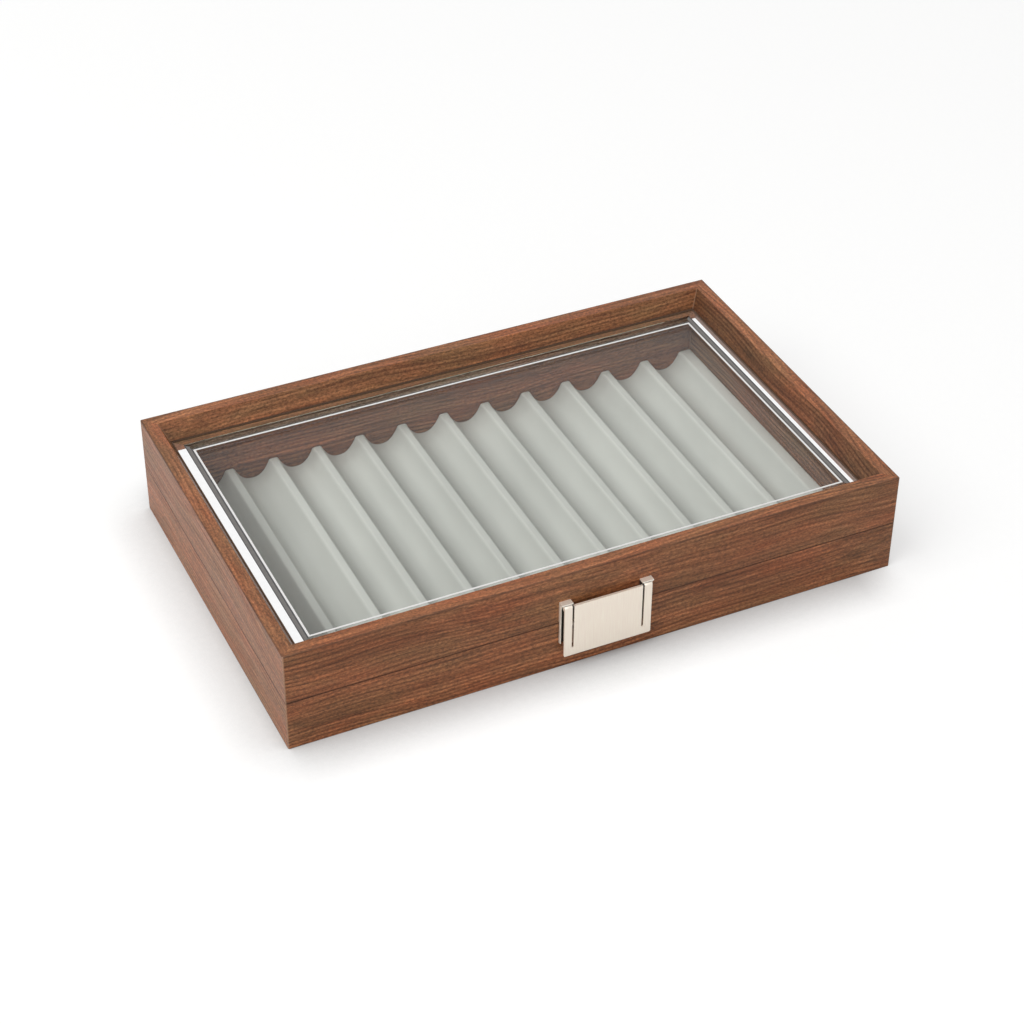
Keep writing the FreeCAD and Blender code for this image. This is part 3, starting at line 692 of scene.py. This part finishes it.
FELT_CELLS = (60, 38)
FELT_EDGE = 0.4 * MM
FELT_RIPPLE = 0.03 * MM
FELT_TONES = ((0.012, 0.012, 0.013), (0.035, 0.035, 0.037))


def felt_pad():
    """A thin sheet of felt under the case, with a soft edge and a slightly uneven face."""
    low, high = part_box("base_felt_pad")
    nx, ny = FELT_CELLS
    verts, faces = [], []
    for face_z, sign in ((low.z, 1), (high.z, -1)):
        for j in range(ny + 1):
            for i in range(nx + 1):
                x = low.x + (high.x - low.x) * i / nx
                y = low.y + (high.y - low.y) * j / ny
                wave = math.sin(i * 1.7 + j * 0.6) * math.sin(j * 1.3 - i * 0.4)
                lift = FELT_RIPPLE * (1 + wave) if sign > 0 else 0.0
                if i in (0, nx) or j in (0, ny):
                    lift = FELT_EDGE
                verts.append((x, y, face_z + sign * lift))
    size = (nx + 1) * (ny + 1)
    for layer in range(2):
        for j in range(ny):
            for i in range(nx):
                a = layer * size + j * (nx + 1) + i
                faces.append((a, a + 1, a + nx + 2, a + nx + 1))
    border = [j * (nx + 1) + i for i, j in
              [(i, 0) for i in range(nx)] + [(nx, j) for j in range(ny)]
              + [(i, ny) for i in range(nx, 0, -1)] + [(0, j) for j in range(ny, 0, -1)]]
    for a, b in zip(border, border[1:] + border[:1]):
        faces.append((a, b, b + size, a + size))
    cloth = plain("black_felt", *FELT_TONES, 1.0, 1500, bump=0.6)
    felt = mesh_piece("felt_pad", verts, faces, cloth)
    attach(felt, "base")
    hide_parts("base_felt_pad")


felt_pad()

# ================================================================ glass and its lines
FOIL = (0.93, 0.93, 0.93)
# the back strip alone is darker and olive: a painted reflection of the wood it faces
BACK_FOIL_PAINTED_REFLECTION = (0.80, 0.77, 0.66)
dress("glass_pane", glass_material())
dress("glass_border_line", plain("white_enamel", (0.93, 0.925, 0.91), (0.96, 0.955, 0.94), 0.4))
for side in SIDES:
    # the back strip carries a painted reflection
    shade = BACK_FOIL_PAINTED_REFLECTION if side == "back" else FOIL
    paler = tuple(c * 1.03 for c in shade)
    dress("glass_trim_" + side, plain("mirror_foil_" + side, shade, paler, 0.03, metallic=1.0))

# ================================================================ metal
FLAP_HALF = 23.2 * MM               # the flap covers the back plate this far from the middle
nickel = metal("satin_nickel", (0.68, 0.66, 0.62), 0.30, "X")
screw_steel = metal("screw_steel", (0.62, 0.61, 0.58), 0.28, "X")
champagne = metal("champagne_satin", (1.0, 0.875, 0.757), 0.42, "Z", 0.15, metallic=0.58)
for side in ("left", "right"):
    for part in ("base_leaf", "lid_leaf", "pin"):
        dress("hinge_%s_%s" % (side, part), nickel)
        soften("hinge_%s_%s" % (side, part), HINGE_ARRIS)
for node in ("hinge_base_screws", "hinge_lid_screws", "clasp_plate_screws", "clasp_keeper_screws"):
    dress(node, screw_steel)
    soften(node, SCREW_ARRIS)
# the back plate is a paler copy of the champagne, painted light so that its lugs' tops read bright
plate = metal("champagne_plate", (1.0, 0.92, 0.82), 0.42, "Z", 0.15, metallic=0.5, shadow_half_width=FLAP_HALF)
for node in ("clasp_flap", "clasp_back_plate", "clasp_keeper", "clasp_pin"):
    dress(node, plate if node == "clasp_back_plate" else champagne)
    soften(node, CLASP_ARRIS)

# ================================================================ stage
FLOOR_SIZE = 12
FLOOR_LEVEL = -0.02 * MM
FLOOR_GLOW = 0.645
SHADE_REACH = 0.030                         # how far from the case its painted shade on the floor goes
SHADE_POWER = 1.7
SHADE_LEFT = (-0.166, -0.158, 0.75, 1.0)    # along X: from, to, and the painted shade's share at each
SHADE_RIGHT = (0.140, 0.165, 1.0, 0.15)
SOFT_SKY = 0.28                             # what the sky gives diffuse light, where it shows as 1
# name, place, edge of the square, watts
LAMPS = (
    ("key", (-2.01, -0.45, 2.79), 2.6, 88),
    ("side", (-2.0, -0.5, 0.8), 1.2, 2),
    ("fill", (-0.3, -2.3, 1.3), 1.6, 10),
)


def floor():
    """White paper that glows for the eye alone, less close to the case: a painted contact shadow.

    Its depth follows how much the case blocks around each point, least on the right, where the key
    lamp's shadow falls.
    """
    bpy.ops.mesh.primitive_plane_add(size=FLOOR_SIZE, location=(0, 0, FLOOR_LEVEL))
    plane = bpy.context.object
    plane.name = "floor"
    s = Shader("floor_paper")
    grain = s.noise(s.coords((300, 300, 300)), detail=2)
    s.set(Base_Color=s.ramp(grain, [(0.3, (0.42, 0.42, 0.415)), (0.7, (0.44, 0.44, 0.435))]))
    s.set(Roughness=0.9, Specular_IOR_Level=0.2)
    near = s.tree.nodes.new("ShaderNodeAmbientOcclusion")
    near.samples = 8
    near.inputs["Distance"].default_value = SHADE_REACH
    blocked = s.math("SUBTRACT", 1.0, s.math("POWER", near.outputs["AO"], SHADE_POWER))
    across = s.split(s.coords())["X"]
    share = s.math("MINIMUM", s.remap(across, *SHADE_LEFT), s.remap(across, *SHADE_RIGHT))
    # painted shadow: the glow is dimmed where the case blocks the surroundings
    glow_under_painted_shadow = s.math("SUBTRACT", 1.0, s.math("MULTIPLY", blocked, share))
    strength = s.math("MULTIPLY", s.math("MULTIPLY", seen_rays(s.tree), FLOOR_GLOW), glow_under_painted_shadow)
    glow = s.tree.nodes.new("ShaderNodeEmission")
    s.feed(glow, "Strength", strength)
    total = s.tree.nodes.new("ShaderNodeAddShader")
    s.link(s.bsdf.outputs[0], total.inputs[0])
    s.link(glow.outputs[0], total.inputs[1])
    s.link(total.outputs[0], s.output.inputs["Surface"])
    plane.data.materials.append(s.material)


def sky():
    """A white studio, which lights surfaces more softly than it looks."""
    world = bpy.data.worlds.new("studio")
    bpy.context.scene.world = world
    world.use_nodes = True
    tree = world.node_tree
    tree.nodes.clear()
    strength = tree.nodes.new("ShaderNodeMapRange")
    tree.links.new(seen_rays(tree), strength.inputs["Value"])
    strength.inputs["To Min"].default_value = SOFT_SKY
    strength.inputs["To Max"].default_value = 1.0
    background = tree.nodes.new("ShaderNodeBackground")
    background.inputs["Color"].default_value = (1, 1, 1, 1)
    tree.links.new(strength.outputs["Result"], background.inputs["Strength"])
    output = tree.nodes.new("ShaderNodeOutputWorld")
    tree.links.new(background.outputs[0], output.inputs["Surface"])


def lamp(name, place, size, power):
    """A square soft box aimed at the middle of the case."""
    data = bpy.data.lights.new(name, "AREA")
    data.size = size
    data.energy = power
    thing = bpy.data.objects.new(name, data)
    bpy.context.scene.collection.objects.link(thing)
    thing.location = place
    thing.rotation_euler = (-Vector(place)).to_track_quat("-Z", "Y").to_euler()
    thing.visible_transmission = False


def camera():
    """The photograph's camera."""
    data = bpy.data.cameras.new("camera")
    data.lens = CAMERA_LENS
    data.sensor_width = CAMERA_SENSOR
    thing = bpy.data.objects.new("camera", data)
    bpy.context.scene.collection.objects.link(thing)
    a, e, r = CAMERA_AZIMUTH, CAMERA_ELEVATION, CAMERA_ROLL
    back = Vector((math.sin(a) * math.cos(e), -math.cos(a) * math.cos(e), math.sin(e)))
    right = Vector((math.cos(a), math.sin(a), 0))
    up = back.cross(right)
    right, up = right * math.cos(r) + up * math.sin(r), up * math.cos(r) - right * math.sin(r)
    turn = Matrix((right, up, back)).transposed().to_4x4()
    thing.matrix_world = Matrix.Translation(CAMERA_PLACE) @ turn
    bpy.context.scene.camera = thing


floor()
sky()
for name, place, size, power in LAMPS:
    lamp(name, place, size, power)
camera()
bpy.context.scene.view_settings.view_transform = "Standard"
